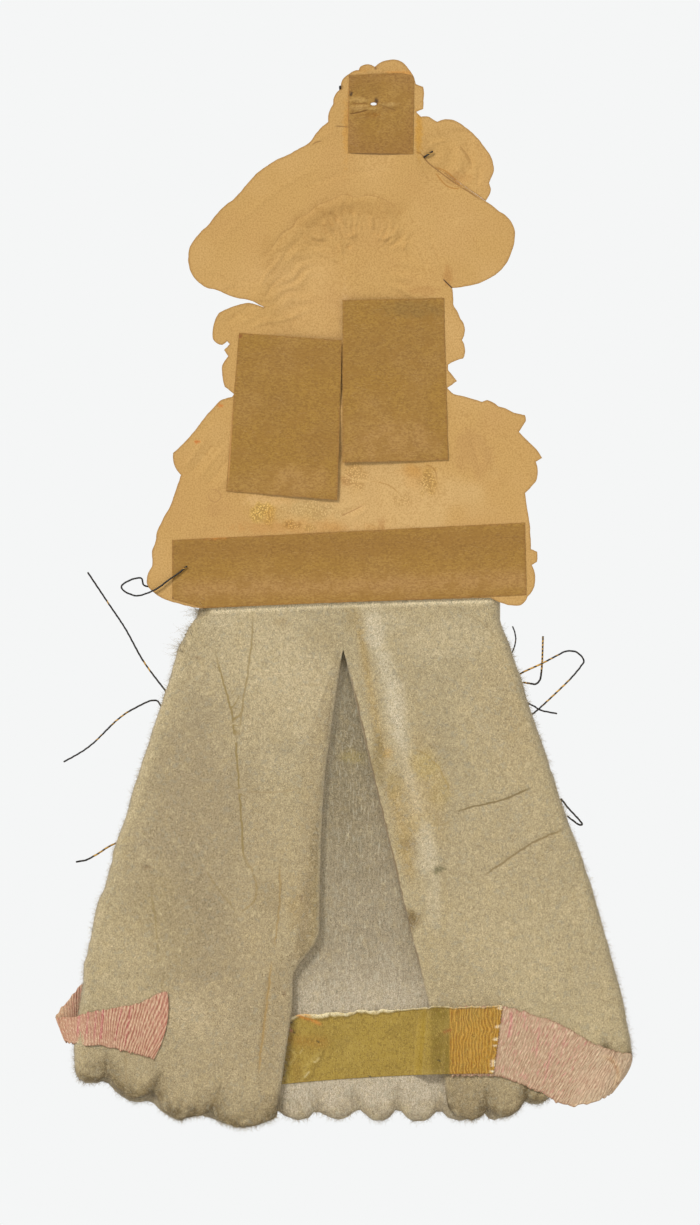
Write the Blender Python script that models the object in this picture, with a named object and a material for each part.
# Paper doll ornament: an embossed die-cut card bust, kraft paper patches on its back,
# and a skirt made of one folded sheet of cotton batting, trimmed with crepe paper,
# clear tape and tinsel wire. It hangs by a hole through its hat.
#
# X runs across the doll, Z runs up and Y runs from the plain back to the printed front.
# The origin is the hanging hole, at the card's back face. Lengths are in millimetres.

from math import cos, hypot, pi, sin, sqrt

import bmesh
import bpy
from mathutils import Vector
from mathutils.geometry import delaunay_2d_cdt

MM = 0.001

# Card
CARD_THICKNESS = 0.45
CARD_GRID = 3.4
HEAD_RELIEF = 1.2
HEAD_CENTRE = (-6.9, -57.0)
HEAD_RADII = (27.0, 31.5)
BUST_RELIEF = 0.8
BUST_CENTRE = (-8.0, -103.0)
BUST_RADII = (36.0, 21.0)
CROWN_RELIEF = 0.5
CROWN_CENTRE = (1.0, -6.0)
CROWN_RADII = (12.0, 15.0)
ROSETTE_RELIEF = 0.7
ROSETTE_CENTRE = (22.0, -15.5)
ROSETTE_RADII = (11.0, 10.5)
ROSETTE_RING_CENTRE = (17.0, -14.0)
ROSETTE_RING_PITCH = 5.0
PLEAT_RELIEF = 0.25
PLEAT_COUNT = 40
PLEAT_CENTRE = (-8.0, -66.0)
PLEAT_START = 28.0
PLEAT_END = 55.0
PLEAT_TOP = -85.0
PLEAT_BOTTOM = -122.0
PLEAT_FADE = 4.0
PLEAT_LONG_FADE = 5.0
TEAR_WIDTH = 0.35
HANGING_HOLE_LENGTH = 1.8
HANGING_HOLE_HEIGHT = 0.9
PIN_HOLE_DIAMETER = 1.0
PIN_HOLE = (14.3, -14.8)
WAIST_RISE = 3.3

# Kraft paper
KRAFT_THICKNESS = 0.2
GLUE_GAP = 0.1

# Cotton batting
BATTING_THICKNESS = 2.2
LAYER_GAP = 0.6
BEND_DROP = 144.5
SKIRT_LENGTH = 140.0
SKIRT_LEFT = -51.8
SKIRT_RIGHT = 35.4
LEFT_FLARE = 45.2
RIGHT_FLARE = 48.0
LEFT_TUCK_WIDTH = 16.6
RIGHT_TUCK_WIDTH = 11.5
OPENING_X = -8.5
OPENING_START = 8.4
OPENING_LEFT = 18.5
OPENING_RIGHT = 29.8
LEFT_CORNER_RISE = 13.4
RIGHT_CORNER_RISE = 17.6
SCALLOP_PITCH = 11.5
SCALLOP_DEPTH = 3.6
TAB_OVERLAP = 10.0
TAB_TOP_THICKNESS = 2.4
TAB_INSET = 1.0
TAB_TAPER = 1.5
BEND_CLEARANCE = 0.3
FLAP_CLEARANCE = 0.4
FLAP_BEND_INSET = 0.6
FLAP_BEND_HEM = 54.1

# Crepe band and tape, with rises measured up from the hem
CREPE_THICKNESS = 0.3
CREPE_GAP = 0.15
BAND_WIDTH = 17.6
BAND_TOP_RISE = 38.1
BAND_SAG = 16.0
BAND_STEP_BACK = 1.0
BAND_END_RISE = 12.3
LEFT_WRAP_RISE = 26.0
RIGHT_WRAP_RISE = 16.0
BAND_END_BELLY = 1.7
CREPE_END_REACH = 9.9
TAPE_THICKNESS = 0.15
TAPE_LEFT_TUCK = 2.8
TAPE_RIGHT_REACH = 22.2
TAPE_TOP_RISE = 31.9
TAPE_WIDTH = 18.9
TAPE_LEAN = 2.5
TAPE_LEFT_DROP = 3.1
TAPE_FLAT_RUN = 12.0
TAPE_RAMP = 2.6
TAPE_RAMP_SWELL = 0.3
TAPE_FLAP_INSET = 0.5
TAPE_CREPE_RAMP = 0.9
TAPE_CREPE_INSET = 0.3

# Tinsel wire
WIRE_DIAMETER = 0.45
WIRE_STEP = 2.4

# Depths below the bend
LEFT_WRAP_DEPTH = SKIRT_LENGTH - LEFT_WRAP_RISE
RIGHT_WRAP_DEPTH = SKIRT_LENGTH - RIGHT_WRAP_RISE
BAND_TOP = SKIRT_LENGTH - BAND_TOP_RISE
BAND_END_BOTTOM = SKIRT_LENGTH - BAND_END_RISE
TAPE_TOP = SKIRT_LENGTH - TAPE_TOP_RISE

# Levels along Y
CARD_FRONT = CARD_THICKNESS
KRAFT_BACK = -GLUE_GAP - KRAFT_THICKNESS
BEND_RADIUS = BATTING_THICKNESS + LAYER_GAP / 2
SKIRT_CENTRE = CARD_FRONT + BEND_CLEARANCE + BEND_RADIUS
SKIRT_BACK = SKIRT_CENTRE - BEND_RADIUS
SKIRT_FRONT = SKIRT_CENTRE + BEND_RADIUS
PANEL_BACK = SKIRT_CENTRE + LAYER_GAP / 2
LAYER_OFFSET = (BATTING_THICKNESS + LAYER_GAP) / 2
WIRE_RADIUS = WIRE_DIAMETER / 2
WIRE_LIFT = GLUE_GAP + WIRE_RADIUS
TAB_BOTTOM = -BEND_DROP + BEND_RADIUS + BEND_CLEARANCE

# The die-cut outline, anticlockwise from the hat's tip as seen from the plain back, in strokes
# of (x, z, bulge). A bulge is the height of the arc to the next point over half its chord.
HAT_CROWN = [
    (4.1, 12.3, 0.2), (0.4, 10.4, 0.35), (-3.5, 10.6, 0.2), (-4.1, 9.5, 0.2), (-6.9, 8.4, 0.25),
    (-9.1, 5.6, 0.0), (-9.1, 4.2, 0.3), (-11.3, 0.0, 0.2), (-12.7, -5.0, 0.1), (-17.8, -10.6, -0.05),
]
BRIM_LEFT = [
    (-27.3, -15.7, 0.0), (-32.6, -19.3, 0.0), (-38.8, -26.3, 0.1), (-46.3, -33.9, 0.1),
    (-51.4, -40.0, 0.15), (-51.4, -46.5, 0.3), (-43.8, -52.1, 0.1), (-34.9, -54.9, 0.0),
]
HAIR_LEFT = [
    (-34.9, -55.7, 0.1), (-43.3, -58.5, 0.2), (-44.9, -65.8, 0.25), (-42.4, -67.5, 0.1),
    (-41.0, -66.4, 0.0), (-40.2, -67.2, 0.0), (-41.9, -68.9, 0.0), (-40.7, -70.6, 0.0),
    (-42.4, -73.4, 0.1), (-41.6, -79.2, 0.0), (-39.1, -81.2, 0.0), (-39.6, -82.0, 0.0),
]
SHOULDER_LEFT = [
    (-42.7, -82.9, 0.05), (-49.7, -91.0, -0.05), (-56.1, -97.7, 0.25), (-53.9, -103.9, 0.0),
    (-57.0, -112.8, 0.05), (-60.6, -119.8, -0.1), (-62.0, -125.2, 0.0), (-62.0, -129.4, 0.1),
    (-63.4, -132.4, 0.3), (-62.3, -136.1, 0.1), (-57.8, -138.9, 0.05),
]
WAIST_EDGE = [
    (-48.6, -141.2, 0.0), (-37.9, -140.8, 0.0), (-14.7, -139.7, 0.0), (32.6, -138.3, 0.05),
]
SHOULDER_RIGHT = [
    (37.7, -140.3, 0.1), (41.3, -140.3, 0.2), (43.1, -138.0, 0.1), (44.9, -135.5, 0.2),
    (44.4, -129.1, 0.0), (45.8, -128.2, 0.1), (45.8, -125.4, 0.0), (44.1, -124.6, 0.0),
    (43.8, -118.4, 0.0), (42.4, -108.9, 0.05), (45.5, -105.6, 0.2), (45.5, -100.2, 0.0),
    (47.2, -99.1, 0.1), (44.4, -95.5, 0.0), (40.7, -91.8, 0.0), (42.7, -88.8, 0.1),
    (42.4, -87.1, 0.0), (38.8, -86.2, 0.1), (35.0, -84.6, 0.1), (31.8, -82.9, 0.0),
    (30.4, -83.4, 0.0), (25.6, -81.9, 0.0), (22.5, -81.2, 0.0),
]
HAIR_RIGHT = [
    (20.7, -79.5, 0.0), (23.4, -77.6, 0.0), (20.9, -74.5, 0.0), (20.9, -73.0, -0.1),
    (25.1, -71.3, 0.15), (25.6, -68.7, 0.15), (24.8, -66.1, 0.1), (25.6, -63.6, 0.2),
    (24.2, -59.9, 0.1), (22.5, -56.6, 0.0), (22.3, -53.5, 0.0),
]
BRIM_RIGHT = [
    (22.0, -51.5, 0.05), (27.6, -50.7, 0.1), (32.1, -49.0, 0.1), (35.7, -46.5, 0.1),
    (38.2, -42.6, 0.12), (39.6, -35.6, 0.25), (35.1, -30.0, 0.05), (31.4, -27.2, 0.0),
]
ROSETTE = [
    (32.3, -25.8, 0.1), (32.9, -23.8, 0.0), (32.3, -22.1, 0.0), (33.7, -18.8, 0.2),
    (31.2, -12.3, 0.1), (25.6, -6.4, 0.1), (22.3, -4.5, 0.2), (17.8, -5.0, 0.0),
    (15.5, -3.6, 0.2), (13.3, -3.6, 0.0), (11.9, -2.2, 0.0),
]
PLUME = [
    (13.9, -1.4, 0.0), (14.1, 2.0, 0.1), (13.9, 4.8, 0.0), (11.9, 5.6, 0.0), (11.3, 7.6, 0.1),
    (8.0, 11.8, 0.2),
]
TEAR_ROSETTE = (20.2, -19.4)
TEAR_HAIR = (-30.6, -56.9)

# Kraft pieces, corner by corner as (x, z)
TOP_PATCH = [(-6.9, 8.1), (8.0, 8.7), (10.9, 7.9), (11.3, 7.0), (11.1, -14.0), (-7.1, -13.7)]
LEFT_PATCH = [(-37.7, -64.1), (-9.0, -66.1), (-10.2, -110.9), (-41.3, -108.4)]
RIGHT_PATCH = [(-8.7, -54.9), (19.7, -54.3), (20.9, -99.7), (-8.7, -100.4)]
WAIST_STRIP = [
    (-56.4, -122.1), (42.4, -117.2), (42.8, -137.5), (-47.5, -141.1), (-56.3, -138.6),
]

# The crepe band's ends, from its left end round to the front, and from the front round to the
# right flap. Each line across it is given by how far in from the skirt's side its top lies,
# the top's depth below the wrap, the same for its bottom, and the side it lies on.
BAND_LEFT_END = [
    (25.7, -10.4, 21.8, 8.9, "back"), (18.4, -7.0, 17.8, 8.1, "back"),
    (7.5, -4.8, 9.7, 5.8, "back"), (2.7, -3.7, 3.3, 5.1, "back"),
    (-5.1, -2.8, -2.3, 4.2, "fold"), (1.6, -12.1, 1.0, 5.3, "front"),
]
BAND_RIGHT_END = [
    (3.4, -5.0, 9.0, 9.6, "front"), (0.2, -3.6, 6.4, 8.0, "round front"),
    (-0.9, -2.4, 4.6, 7.2, "fold"), (0.2, -2.7, 6.4, 9.4, "round back"),
    (3.4, -3.1, 9.0, 10.8, "back"), (6.2, -3.4, 17.1, 12.6, "back"),
    (14.0, -7.2, 24.1, 9.3, "back"), (22.7, -11.7, 30.8, 5.9, "back"),
    (29.4, -14.5, 36.4, 4.0, "back"), (35.5, -15.9, 41.7, 3.7, "back"),
]

# Free ends of the tinsel wires, as (distance outwards, rise, step along Y) from where each
# passes the skirt's side, and the depth of that place below the bend
HIGH_LEFT_DEPTH = 19.9
HIGH_LEFT_END = [
    (21.8, 33.3, -1.0), (16.0, 24.6, -0.6), (11.2, 17.4, -0.2), (6.2, 8.4, 0.2), (0.0, 0.0, 0.3),
]
HOOK_DEPTH = 15.4
HOOK_END = [
    (0.0, 0.0, 0.3), (6.2, 3.1, 0.2), (13.4, 6.7, 0.1), (16.2, 6.4, 0.0), (18.2, 4.2, 0.0),
    (15.4, 0.0, 0.0), (10.1, -5.3, 0.1), (5.0, -10.0, 0.1), (3.4, -11.2, 0.1),
]
MIDDLE_LEFT_DEPTH = 22.6
MIDDLE_LEFT_END = [
    (27.7, -17.1, 0.2), (23.5, -14.8, 0.2), (19.3, -11.8, 0.2), (12.6, -5.3, 0.3),
    (7.6, -2.0, 0.4), (1.5, 0.0, 0.4),
]
SHORT_RIGHT_DEPTH = 24.0
SHORT_RIGHT_END = [(-1.0, 0.6, 0.3), (3.1, -1.2, 0.9), (7.8, -2.2, 1.0)]
LOW_LEFT_DEPTH = 62.4
LOW_LEFT_END = [(11.5, -5.3, 0.5), (8.7, -4.8, 0.4), (5.0, -2.8, 0.2), (0.0, 0.0, 0.2)]
HAIRPIN_DEPTH = 50.1
HAIRPIN_END = [
    (0.0, 0.0, 0.2), (1.7, -2.2, 0.3), (5.2, -6.0, 0.3), (5.9, -7.1, 0.3), (5.0, -7.2, 0.2),
    (1.7, -4.8, 0.0),
]
SPUR_DEPTH = 17.1
SPUR = [
    (-12.0, -3.0, 0.0), (-2.0, -0.4, 0.6), (4.2, -0.8, 0.9), (5.3, 0.3, 0.9), (5.9, 4.2, 0.9),
    (6.2, 12.6, 0.9),
]
TOP_LOOP = [
    (-3.0, 0.6, 0.0), (3.4, -1.6, 0.0), (4.4, -4.8, -0.2), (4.0, -7.6, -0.2), (2.9, -9.8, -0.1),
    (-0.5, -12.2, 0.0),
]

# Their runs across the skirt's front, as the depths where each starts and ends, and its sag
UPPER_RUN = (21.5, 17.0, 17.0)
MIDDLE_RUN = (26.0, 27.0, 18.0)
LOWER_RUN = (62.6, 51.5, 22.0)

# The waist wire's free loop, as (x, rise above the bend), and its run over the waist's front
WAIST_LOOP_BACK = [(-52.2, 15.1), (-54.5, 13.2), (-57.8, 10.9), (-61.0, 8.6)]
WAIST_LOOP_FRONT = [(-66.2, 6.8), (-70.1, 8.4), (-70.4, 9.8), (-67.6, 11.4), (-65.0, 11.7)]
WAIST_CROSSING = [(-12.6, 0.2, 2.6), (-8.0, 1.6, 1.4)]
WAIST_RUN_RISE = 7.3
WAIST_RUN_LIFT = 1.6

# The hat's wire, as (x, z): its end on the back, and its run over the printed side
HAT_NOTCH = [(-7.6, 3.6), (-9.8, 4.9), (-10.4, 4.7)]
HAT_RUN = [(-8.5, 1.4), (-3.0, -6.4), (4.0, -11.8), (10.6, -14.2)]
HAT_TIP = (2.3, 1.6)


def clear_scene():
    for item in list(bpy.data.objects):
        bpy.data.objects.remove(item, do_unlink=True)


def material(name, color, roughness, metallic=0.0, alpha=1.0):
    made = bpy.data.materials.new(name)
    made.use_nodes = True
    shader = made.node_tree.nodes["Principled BSDF"]
    shader.inputs["Base Color"].default_value = (*color, 1.0)
    shader.inputs["Roughness"].default_value = roughness
    shader.inputs["Metallic"].default_value = metallic
    shader.inputs["Alpha"].default_value = alpha
    return made


def ramp(low, high, value):
    share = min(1.0, max(0.0, (value - low) / (high - low)))
    return share * share * (3.0 - 2.0 * share)


def add_object(name, points, faces, surface, parent=None):
    mesh = bpy.data.meshes.new(name)
    mesh.from_pydata([tuple(c * MM for c in p) for p in points], [], faces)
    solid = bmesh.new()
    solid.from_mesh(mesh)
    bmesh.ops.recalc_face_normals(solid, faces=solid.faces)
    solid.to_mesh(mesh)
    solid.free()
    mesh.materials.append(surface)
    mesh.shade_smooth()
    mesh.set_sharp_from_angle(angle=0.7)
    made = bpy.data.objects.new(name, mesh)
    bpy.context.collection.objects.link(made)
    if parent is not None:
        made.parent = parent
        made.matrix_parent_inverse = parent.matrix_world.inverted()
    return made


def add_pivot(name, place):
    pivot = bpy.data.objects.new(name, None)
    pivot.location = Vector(place) * MM
    pivot.empty_display_size = 0.01
    bpy.context.collection.objects.link(pivot)
    bpy.context.view_layer.update()
    return pivot


# Outlines


def arc_points(start, end, bulge):
    if abs(bulge) < 0.01:
        return [start]
    run = (end[0] - start[0], end[1] - start[1])
    height = bulge * hypot(*run) / 2
    side = (-run[1] / hypot(*run), run[0] / hypot(*run))
    steps = 3 if abs(bulge) < 0.15 else 4
    points = []
    for step in range(steps):
        share = step / steps
        rise = -height * 4 * share * (1 - share)
        points.append((start[0] + run[0] * share + side[0] * rise,
                       start[1] + run[1] * share + side[1] * rise))
    return points


def bust_z(z):
    # Heights below the hair stretch, so that the waist's edge keeps its rise above the bend
    hair = HAIR_LEFT[-1][1]
    waist = min(corner[1] for corner in WAIST_EDGE)
    stretch = (WAIST_RISE - BEND_DROP - hair) / (waist - hair)
    return hair + (z - hair) * stretch if z < hair else z


def card_outline():
    strokes = [HAT_CROWN, BRIM_LEFT, HAIR_LEFT, SHOULDER_LEFT, WAIST_EDGE,
               SHOULDER_RIGHT, HAIR_RIGHT, BRIM_RIGHT, ROSETTE, PLUME]
    corners = []
    for stroke in strokes:
        corners += [(x, bust_z(z), bulge) for x, z, bulge in stroke]
        if stroke is BRIM_LEFT:
            corners.append((*TEAR_HAIR, 0.0))
        if stroke is BRIM_RIGHT:
            last = stroke[-1]
            corners.append((*TEAR_ROSETTE, 0.0))
            corners.append((last[0] + TEAR_WIDTH, last[1] + TEAR_WIDTH, 0.0))
    outline = []
    for corner, following in zip(corners, corners[1:] + corners[:1]):
        outline += arc_points(corner[:2], following[:2], corner[2])
    return outline


def ring(centre, width, height, count):
    return [(centre[0] + width / 2 * cos(2 * pi * k / count),
             centre[1] + height / 2 * sin(2 * pi * k / count)) for k in range(count)]


def inside(point, outline):
    found = False
    for a, b in zip(outline, outline[1:] + outline[:1]):
        if (a[1] > point[1]) != (b[1] > point[1]):
            if point[0] < a[0] + (point[1] - a[1]) * (b[0] - a[0]) / (b[1] - a[1]):
                found = not found
    return found


def distance_to(point, outline):
    least = 1e9
    for a, b in zip(outline, outline[1:] + outline[:1]):
        run = (b[0] - a[0], b[1] - a[1])
        size = run[0] ** 2 + run[1] ** 2
        share = ((point[0] - a[0]) * run[0] + (point[1] - a[1]) * run[1]) / size
        share = min(1.0, max(0.0, share))
        least = min(least, hypot(point[0] - a[0] - run[0] * share,
                                 point[1] - a[1] - run[1] * share))
    return least


# Flat sheets


def triangulate(outline, holes, grid):
    points = list(outline)
    loops = [list(range(len(outline)))]
    for hole in holes:
        loops.append(list(range(len(points), len(points) + len(hole))))
        points += hole
    if grid:
        xs = [p[0] for p in outline]
        zs = [p[1] for p in outline]
        row_step = grid * sqrt(3) / 2
        for row in range(int((max(zs) - min(zs)) / row_step) + 1):
            z = min(zs) + row * row_step
            shift = grid / 2 * (row % 2)
            for column in range(int((max(xs) - min(xs)) / grid) + 1):
                point = (min(xs) + shift + column * grid, z)
                near = min(distance_to(point, loop) for loop in [outline] + holes)
                if near > 0.45 * grid and inside(point, outline):
                    points.append(point)
    edges = [(loop[k], loop[(k + 1) % len(loop)]) for loop in loops for k in range(len(loop))]
    found = delaunay_2d_cdt([Vector(p) for p in points], edges, [], 1, 1e-5)
    flat = [(p.x, p.y) for p in found[0]]
    triangles = []
    for face in found[2]:
        middle = (sum(flat[k][0] for k in face) / 3, sum(flat[k][1] for k in face) / 3)
        if inside(middle, outline) and not any(inside(middle, hole) for hole in holes):
            triangles.append(tuple(face))
    return flat, triangles


def flat_sheet(name, outline, holes, grid, back, front, surface):
    flat, triangles = triangulate(outline, holes, grid)
    used = sorted({k for face in triangles for k in face})
    place = {old: new for new, old in enumerate(used)}
    triangles = [tuple(place[k] for k in face) for face in triangles]
    flat = [flat[k] for k in used]
    count = len(flat)
    points = [(x, back(x, z), z) for x, z in flat] + [(x, front(x, z), z) for x, z in flat]
    faces = list(triangles) + [tuple(k + count for k in reversed(face)) for face in triangles]
    sides = {(face[k], face[(k + 1) % 3]) for face in triangles for k in range(3)}
    for a, b in sides:
        if (b, a) not in sides:
            faces.append((b, a, a + count))
            faces.append((b, a + count, b + count))
    return add_object(name, points, faces, surface)


# Card


def bump(x, z, centre, radii, inner):
    # 1 within the inner share of an ellipse, falling smoothly to 0 at its edge
    away = hypot((x - centre[0]) / radii[0], (z - centre[1]) / radii[1])
    return 1.0 - ramp(inner, 1.0, away)


def card_relief(x, z):
    # Embossed height towards the printed side
    head = HEAD_RELIEF * bump(x, z, HEAD_CENTRE, HEAD_RADII, 0.8)
    bust = BUST_RELIEF * bump(x, z, BUST_CENTRE, BUST_RADII, 0.2)
    crown = CROWN_RELIEF * bump(x, z, CROWN_CENTRE, CROWN_RADII, 0.3)
    rosette = ROSETTE_RELIEF * bump(x, z, ROSETTE_CENTRE, ROSETTE_RADII, 0.5)
    from_ring_centre = hypot(x - ROSETTE_RING_CENTRE[0], z - ROSETTE_RING_CENTRE[1])
    rings = 0.5 + 0.5 * cos(2 * pi * from_ring_centre / ROSETTE_RING_PITCH)
    across = x - PLEAT_CENTRE[0]
    reach = hypot(across, z - PLEAT_CENTRE[1])
    fan = ramp(PLEAT_START - PLEAT_FADE, PLEAT_START + PLEAT_FADE, reach)
    fan *= 1 - ramp(PLEAT_END - PLEAT_LONG_FADE, PLEAT_END + PLEAT_LONG_FADE, reach)
    fan *= ramp(PLEAT_BOTTOM - PLEAT_FADE, PLEAT_BOTTOM + PLEAT_FADE, z)
    fan *= 1 - ramp(PLEAT_TOP - PLEAT_LONG_FADE, PLEAT_TOP + PLEAT_LONG_FADE, z)
    pleats = PLEAT_RELIEF * fan * (0.5 + 0.5 * sin(PLEAT_COUNT * across / max(1.0, reach)))
    return max(head, bust) + crown + rosette * (0.6 + 0.4 * rings) + pleats


def make_card():
    tan_card = material("card", (0.60, 0.38, 0.16), 0.85)
    holes = [ring((0.0, 0.0), HANGING_HOLE_LENGTH, HANGING_HOLE_HEIGHT, 10),
             ring(PIN_HOLE, PIN_HOLE_DIAMETER, PIN_HOLE_DIAMETER, 8)]
    return flat_sheet("card_figure", card_outline(), holes, CARD_GRID, card_relief,
                      lambda x, z: card_relief(x, z) + CARD_THICKNESS, tan_card)


def make_kraft():
    kraft = material("kraft", (0.38, 0.22, 0.08), 0.9)
    hole = ring((0.0, 0.0), HANGING_HOLE_LENGTH, HANGING_HOLE_HEIGHT, 10)
    strip = [(x, bust_z(z)) for x, z in WAIST_STRIP]
    pieces = [("top_patch", TOP_PATCH, [hole]), ("left_patch", LEFT_PATCH, []),
              ("right_patch", RIGHT_PATCH, []), ("waist_strip", strip, [])]
    for name, corners, holes in pieces:
        flat_sheet(name, corners, holes, None, lambda x, z: KRAFT_BACK,
                   lambda x, z: -GLUE_GAP, kraft)


# Cotton batting


def left_edge(depth):
    share = depth / SKIRT_LENGTH
    return SKIRT_LEFT - LEFT_FLARE * share + LEFT_TUCK_WIDTH * share ** 6


def right_edge(depth):
    share = depth / SKIRT_LENGTH
    return SKIRT_RIGHT + RIGHT_FLARE * share - RIGHT_TUCK_WIDTH * share ** 6


def opening_share(depth):
    return max(0.0, depth - OPENING_START) / (SKIRT_LENGTH - OPENING_START)


def left_opening(depth):
    return OPENING_X - OPENING_LEFT * opening_share(depth) - FLAP_CLEARANCE / 2


def right_opening(depth):
    return OPENING_X + OPENING_RIGHT * opening_share(depth) + FLAP_CLEARANCE / 2


def flap_bend(depth):
    # The slanting line along which the free corner of the left flap lifts
    return OPENING_X - FLAP_BEND_INSET - FLAP_BEND_HEM * opening_share(depth)


def scallop(position):
    return SCALLOP_DEPTH * (1.0 - abs(sin(pi * position)) ** 0.7)


def hem_depth(x, lobes):
    # Depth of the hem below the bend, with the corners drawn up
    left = left_edge(SKIRT_LENGTH)
    right = right_edge(SKIRT_LENGTH)
    share = (x - left) / (right - left)
    rise = LEFT_CORNER_RISE * max(0.0, 1.0 - share / 0.17)
    rise += RIGHT_CORNER_RISE * max(0.0, (share - 0.74) / 0.26) ** 1.3
    return SKIRT_LENGTH - rise - scallop(lobes)


def layer_columns(start, end, lobes, per_lobe):
    # Columns across one layer, as (share of the layer, place in its row of scallops)
    count = lobes * per_lobe
    return [(start + (end - start) * k / count, k / per_lobe) for k in range(count + 1)]


def closed_sheet(name, outer, inner, surface, parent):
    # A sheet from two grids of points, closed round its rim
    rows = len(outer)
    columns = len(outer[0])
    points = [p for row in outer for p in row] + [p for row in inner for p in row]
    size = rows * columns
    faces = []
    for r in range(rows - 1):
        for c in range(columns - 1):
            a = r * columns + c
            b = a + columns
            faces += [(a, b, b + 1), (a, b + 1, a + 1)]
            faces += [(a + size, b + 1 + size, b + size), (a + size, a + 1 + size, b + 1 + size)]
    rim = [c for c in range(columns)]
    rim += [r * columns + columns - 1 for r in range(1, rows)]
    rim += [(rows - 1) * columns + c for c in range(columns - 2, -1, -1)]
    rim += [r * columns for r in range(rows - 2, 0, -1)]
    for a, b in zip(rim, rim[1:] + rim[:1]):
        faces += [(a, b, b + size), (a, b + size, a + size)]
    return add_object(name, points, faces, surface, parent)


def top_rise(side):
    # The two layers end on one round top about the bend, so that it can turn under the tab
    inner_y = LAYER_GAP / 2
    return 0.95 * sqrt(BEND_RADIUS ** 2 - inner_y ** 2) if side < 0 else 0.0


ROW_SHARES = [0.0, 0.22, 0.45, 0.68, 0.88, 1.0]


def wrap_point(layer, share, depth, offset):
    # A point of the folded sheet, offset outwards from its middle surface
    reach = LAYER_OFFSET + offset
    left = left_edge(depth) + BEND_RADIUS
    right = right_edge(depth) - BEND_RADIUS
    if layer == "right":
        start = right_opening(depth)
        return start + (right - start) * share, SKIRT_CENTRE - reach
    if layer == "right_fold":
        return right + reach * sin(pi * share), SKIRT_CENTRE - reach * cos(pi * share)
    if layer == "front":
        return right + (left - right) * share, SKIRT_CENTRE + reach
    if layer == "left_fold":
        return left - reach * sin(pi * share), SKIRT_CENTRE + reach * cos(pi * share)
    end = min(flap_bend(depth), left_opening(depth)) - FLAP_CLEARANCE / 2
    return left + (end - left) * share, SKIRT_CENTRE - reach


def sheet_rows(columns, side, first_depth=0.0):
    rows = []
    for row_share in ROW_SHARES:
        row = []
        for layer, share, lobes, thin in columns:
            hem_x = wrap_point(layer, share, SKIRT_LENGTH, 0.0)[0]
            length = hem_depth(hem_x, lobes)
            depth = first_depth + (length - first_depth) * row_share
            thick = BATTING_THICKNESS / 2 * thin
            if row_share == 1.0:
                thick *= 0.45
            x, y = wrap_point(layer, share, depth, side * thick)
            z = -BEND_DROP - depth
            if row_share == 0.0:
                z += top_rise(side)
            row.append((x, y, z))
        rows.append(row)
    return rows


def make_skirt(cotton, parent):
    hem_width = right_edge(SKIRT_LENGTH) - left_edge(SKIRT_LENGTH)
    front_lobes = max(6, round(hem_width / SCALLOP_PITCH))
    right_width = right_edge(SKIRT_LENGTH) - right_opening(SKIRT_LENGTH)
    right_lobes = max(2, round(right_width / SCALLOP_PITCH))
    columns = []
    for share, lobe in layer_columns(0.0, 1.0, right_lobes, 4):
        columns.append(("right", share, lobe, 0.5 if share == 0.0 else 1.0))
    for k in range(1, 4):
        columns.append(("right_fold", k / 4, 0.5, 1.0))
    for share, lobe in layer_columns(0.0, 1.0, front_lobes, 4):
        columns.append(("front", share, lobe, 1.0))
    for k in range(1, 4):
        columns.append(("left_fold", k / 4, 0.5, 1.0))
    for share, lobe in layer_columns(0.0, 1.0, 2, 4):
        columns.append(("left", share, lobe, 1.0))
    closed_sheet("cotton_skirt", sheet_rows(columns, 1), sheet_rows(columns, -1), cotton, parent)


def flap_rows(side):
    rows = []
    first = OPENING_START + 2.0
    columns = layer_columns(0.0, 1.0, 2, 5)
    for row_share in ROW_SHARES:
        row = []
        for share, lobe in columns:
            def across(depth):
                start = flap_bend(depth) + FLAP_CLEARANCE / 2
                return start + (left_opening(depth) - start) * share
            length = hem_depth(across(SKIRT_LENGTH), lobe) + SCALLOP_DEPTH * 0.5
            depth = first + (length - first) * row_share
            thick = BATTING_THICKNESS / 2
            if row_share == 1.0 or share == 1.0:
                thick *= 0.5
            row.append((across(depth), SKIRT_CENTRE - LAYER_OFFSET - side * thick,
                        -BEND_DROP - depth))
        rows.append(row)
    return rows


def make_flap(cotton, parent):
    closed_sheet("left_flap", flap_rows(1), flap_rows(-1), cotton, parent)


def make_tab(cotton):
    # The top of the batting, glued to the card's printed side and feathered upwards
    top = TAB_BOTTOM + TAB_OVERLAP
    back = CARD_FRONT + GLUE_GAP
    outer = []
    inner = []
    for share in (0.0, 0.35, 0.7, 1.0):
        z = TAB_BOTTOM + (top - TAB_BOTTOM) * share
        thickness = (SKIRT_FRONT - back) + (TAB_TOP_THICKNESS - SKIRT_FRONT + back) * share
        inset = TAB_INSET + TAB_TAPER * share
        left = SKIRT_LEFT + inset
        right = SKIRT_RIGHT - inset
        outer_row = []
        inner_row = []
        for k in range(13):
            across = k / 12
            bulge = 1.0 - (2 * across - 1.0) ** 8 * 0.7
            x = left + (right - left) * across
            outer_row.append((x, back + thickness * bulge, z))
            inner_row.append((x, back, z))
        outer.append(outer_row)
        inner.append(inner_row)
    closed_sheet("waist_tab", outer, inner, cotton, None)


# Crepe band


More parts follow.
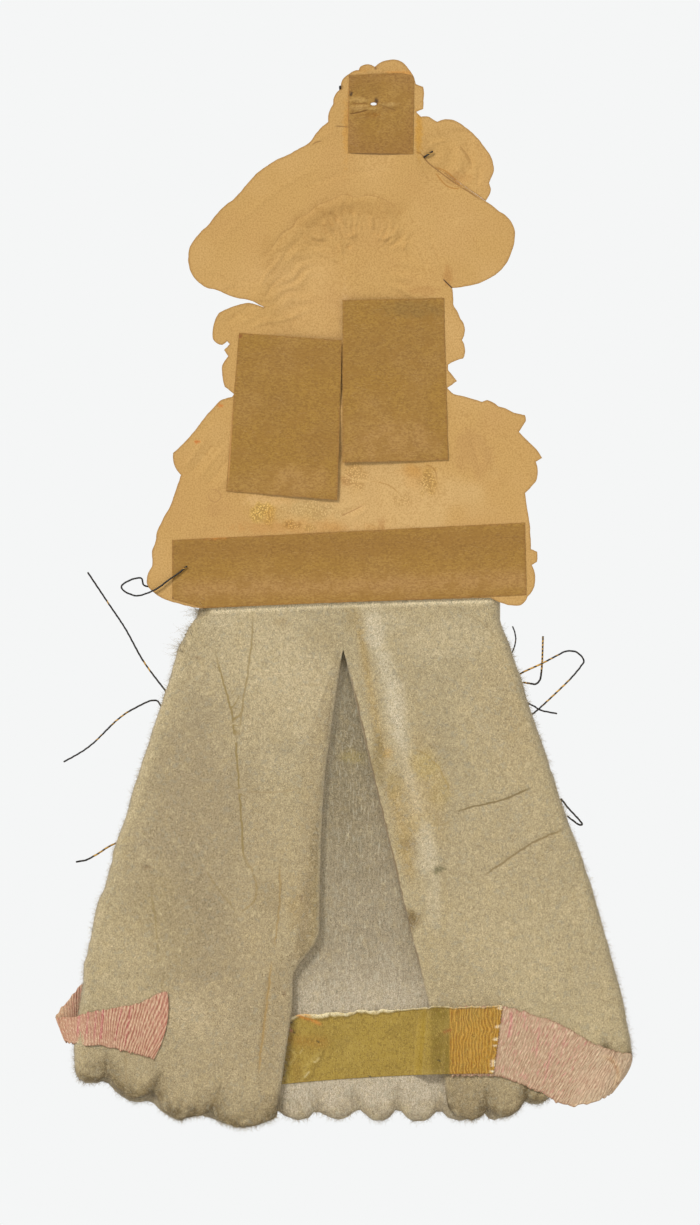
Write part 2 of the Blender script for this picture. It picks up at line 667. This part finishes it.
def band_columns():
    # Crosswise lines of the band from its left end to its right one, as x and depth of the
    # top, the same of the bottom, and the level along Y
    reach = BEND_RADIUS + CREPE_GAP + CREPE_THICKNESS / 2
    turns = {"back": -1.0, "round back": -0.75, "fold": 0.0, "round front": 0.75, "front": 1.0}
    left = left_edge(LEFT_WRAP_DEPTH)
    right = right_edge(RIGHT_WRAP_DEPTH)
    columns = []
    for inset, top, low_inset, bottom, side in BAND_LEFT_END:
        columns.append((left + inset, LEFT_WRAP_DEPTH + top, left + low_inset,
                        LEFT_WRAP_DEPTH + bottom, SKIRT_CENTRE + reach * turns[side]))
    for share in (0.15, 0.3, 0.45, 0.6, 0.75, 0.9):
        top = BAND_TOP + BAND_SAG * sin(pi / 2 * min(1.0, share * 1.3))
        x = left + (right - left) * share
        columns.append((x, top, x - BAND_STEP_BACK, top + BAND_WIDTH, SKIRT_CENTRE + reach))
    for inset, top, low_inset, bottom, side in BAND_RIGHT_END:
        columns.append((right - inset, RIGHT_WRAP_DEPTH + top, right - low_inset,
                        RIGHT_WRAP_DEPTH + bottom, SKIRT_CENTRE + reach * turns[side]))
    end = right_opening(TAPE_TOP) + CREPE_END_REACH
    columns.append((end, TAPE_TOP, end - TAPE_LEAN, BAND_END_BOTTOM, SKIRT_CENTRE - reach))
    return columns


def make_band(parent):
    crepe = material("crepe", (0.62, 0.36, 0.30), 0.9)
    outer = [[], [], []]
    inner = [[], [], []]
    half = CREPE_THICKNESS / 2
    reach = BEND_RADIUS + CREPE_GAP + half
    for k, (x_top, top, x_bottom, bottom, level) in enumerate(band_columns()):
        turn = (level - SKIRT_CENTRE) / reach
        side = sqrt(max(0.0, 1.0 - turn * turn))
        normal = (half * (-side if x_top < 0 else side), half * turn)
        belly = BAND_END_BELLY if k == 0 else 0.0
        for row, share in enumerate((0.0, 0.5, 1.0)):
            x = x_top + (x_bottom - x_top) * share + belly * 4 * share * (1 - share)
            z = -BEND_DROP - top - (bottom - top) * share
            outer[row].append((x + normal[0], level + normal[1], z))
            inner[row].append((x - normal[0], level - normal[1], z))
    closed_sheet("crepe_band", outer, inner, crepe, parent)


# Tape


def make_tape(parent):
    tape = material("tape", (0.45, 0.30, 0.05), 0.25, 0.0, 0.6)
    low = PANEL_BACK - GLUE_GAP
    flap = SKIRT_BACK - GLUE_GAP
    crepe = SKIRT_BACK - CREPE_GAP - CREPE_THICKNESS - GLUE_GAP
    middle = TAPE_TOP + TAPE_WIDTH / 2
    edge = right_opening(TAPE_TOP)
    left = left_opening(middle) - TAPE_LEFT_TUCK
    crepe_end = edge + CREPE_END_REACH - TAPE_LEAN
    ramp_end = edge - TAPE_FLAP_INSET
    crepe_start = crepe_end - TAPE_CREPE_INSET
    profile = [
        (left, low), (left + TAPE_FLAT_RUN, low), (ramp_end - TAPE_RAMP, low),
        (ramp_end - TAPE_RAMP / 2, (low + flap) / 2 + TAPE_RAMP_SWELL), (ramp_end, flap),
        (crepe_start - TAPE_CREPE_RAMP, flap), (crepe_start, crepe),
        (edge + TAPE_RIGHT_REACH, crepe),
    ]
    outer = [[], [], []]
    inner = [[], [], []]
    first = profile[0][0]
    length = profile[-1][0] - first
    for x, level in profile:
        sink = TAPE_LEFT_DROP * ((x - first) / length - 1.0) ** 2
        for row, share in enumerate((0.0, 0.5, 1.0)):
            z = -BEND_DROP - TAPE_TOP - sink - TAPE_WIDTH * share
            shift = -TAPE_LEAN * share * (x - first) / length
            outer[row].append((x + shift, level - TAPE_THICKNESS, z))
            inner[row].append((x + shift, level, z))
    closed_sheet("tape_strip", outer, inner, tape, parent)


# Tinsel wire


def smooth_route(points, step):
    # A curve through the points, read off at about even steps
    ends = [points[0]] + list(points) + [points[-1]]
    route = []
    for k in range(1, len(ends) - 2):
        p0, p1, p2, p3 = (Vector(p) for p in ends[k - 1:k + 3])
        count = max(1, round((p2 - p1).length / step))
        for n in range(count):
            t = n / count
            route.append(0.5 * (2 * p1 + (p2 - p0) * t + (2 * p0 - 5 * p1 + 4 * p2 - p3) * t * t
                                + (3 * p1 - p0 - 3 * p2 + p3) * t ** 3))
    route.append(Vector(ends[-1]))
    return route


def add_wire(name, points, surface, parent=None):
    route = smooth_route(points, WIRE_STEP)
    curve = bpy.data.curves.new(name, "CURVE")
    curve.dimensions = "3D"
    curve.bevel_depth = WIRE_RADIUS * MM
    curve.bevel_resolution = 1
    curve.use_fill_caps = True
    spline = curve.splines.new("POLY")
    spline.points.add(len(route) - 1)
    for point, place in zip(spline.points, route):
        point.co = (*(place * MM), 1.0)
    curve.materials.append(surface)
    wire = bpy.data.objects.new(name, curve)
    bpy.context.collection.objects.link(wire)
    if parent is not None:
        wire.parent = parent
        wire.matrix_parent_inverse = parent.matrix_world.inverted()
    return wire


def swag(left_depth, right_depth, sag, level, shares=(0.03, 0.2, 0.4, 0.6, 0.8, 0.97)):
    # A run across the front of the skirt, hanging between its two sides
    points = []
    for share in shares:
        depth = left_depth + (right_depth - left_depth) * share + sag * 4 * share * (1 - share)
        left = left_edge(depth)
        points.append((left + (right_edge(depth) - left) * share, level, -BEND_DROP - depth))
    return points


def tail(edge, side, depth, level, steps):
    # A free end beside the skirt, as (distance outwards, rise, step along Y) from where it
    # passes the skirt's edge
    start = edge(depth)
    return [(start + side * out, level + step, -BEND_DROP - depth + rise)
            for out, rise, step in steps]


def make_wires(skirt):
    tinsel = material("tinsel", (0.12, 0.09, 0.05), 0.35, 0.9)
    lie = SKIRT_FRONT + WIRE_LIFT
    high = tail(left_edge, -1, HIGH_LEFT_DEPTH, lie, HIGH_LEFT_END)
    hook = tail(right_edge, 1, HOOK_DEPTH, lie, HOOK_END)
    upper = swag(*UPPER_RUN, lie)
    add_wire("tinsel_wire_1", high + upper + hook, tinsel, skirt)
    middle = tail(left_edge, -1, MIDDLE_LEFT_DEPTH, lie, MIDDLE_LEFT_END)
    short = tail(right_edge, 1, SHORT_RIGHT_DEPTH, lie, SHORT_RIGHT_END)
    run = swag(*MIDDLE_RUN, lie, (0.04, 0.2, 0.4, 0.6, 0.8, 0.96))
    add_wire("tinsel_wire_2", middle + run + short, tinsel, skirt)
    low = tail(left_edge, -1, LOW_LEFT_DEPTH, lie, LOW_LEFT_END)
    hairpin = tail(right_edge, 1, HAIRPIN_DEPTH, lie, HAIRPIN_END)
    lower = swag(*LOWER_RUN, lie)
    add_wire("tinsel_wire_3", low + lower + hairpin, tinsel, skirt)
    add_wire("tinsel_wire_4", tail(right_edge, 1, SPUR_DEPTH, lie, SPUR), tinsel, skirt)
    add_wire("tinsel_wire_5", tail(right_edge, 1, 0.0, lie, TOP_LOOP), tinsel, skirt)
    add_wire("waist_wire", waist_route(), tinsel)
    add_wire("hat_wire", hat_route(), tinsel)


def waist_route():
    # From its tip over the waist strip, round a free loop, then across the waist's front
    back = KRAFT_BACK - WIRE_LIFT
    over = SKIRT_FRONT + WIRE_LIFT
    points = [(x, back - 0.1 * k, rise - BEND_DROP) for k, (x, rise) in enumerate(WAIST_LOOP_BACK)]
    points += [(x, back + 0.35 * k, rise - BEND_DROP)
               for k, (x, rise) in enumerate(WAIST_LOOP_FRONT)]
    run = WAIST_RUN_RISE - BEND_DROP
    points += [(SKIRT_LEFT + x, CARD_FRONT + y, run + z) for x, y, z in WAIST_CROSSING]
    points.append((SKIRT_LEFT - 2.0, (over + CARD_FRONT) / 2 + 0.6, run + 0.6))
    for share in (0.05, 0.25, 0.5, 0.75, 0.93):
        points.append((SKIRT_LEFT + (SKIRT_RIGHT - SKIRT_LEFT) * share, over,
                       run + WAIST_RUN_LIFT * share))
    return points


def hat_route():
    # Round the hat's left notch, across its printed side and back through the pin hole
    back = -WIRE_LIFT
    points = [(x, back, z) for x, z in HAT_NOTCH[:2]]
    points.append((HAT_NOTCH[2][0], CARD_FRONT / 2, HAT_NOTCH[2][1]))
    points += [(x, card_relief(x, z) + CARD_FRONT + WIRE_LIFT + 0.15, z) for x, z in HAT_RUN]
    hole = card_relief(*PIN_HOLE)
    points.append((PIN_HOLE[0] - 0.15, hole + CARD_FRONT + WIRE_LIFT, PIN_HOLE[1] + 0.1))
    points.append((PIN_HOLE[0], hole - WIRE_LIFT, PIN_HOLE[1]))
    points.append((PIN_HOLE[0] + HAT_TIP[0], back, PIN_HOLE[1] + HAT_TIP[1]))
    return points


def build():
    clear_scene()
    make_card()
    make_kraft()
    skirt = add_pivot("skirt_bend", (0.0, SKIRT_CENTRE, -BEND_DROP))
    flap = add_pivot("flap_bend_line", (flap_bend(OPENING_START), SKIRT_BACK,
                                        -BEND_DROP - OPENING_START))
    flap.parent = skirt
    flap.matrix_parent_inverse = skirt.matrix_world.inverted()
    cotton = material("cotton", (0.48, 0.42, 0.28), 0.95)
    make_tab(cotton)
    make_skirt(cotton, skirt)
    make_flap(cotton, flap)
    make_band(skirt)
    make_tape(skirt)
    make_wires(skirt)


build()
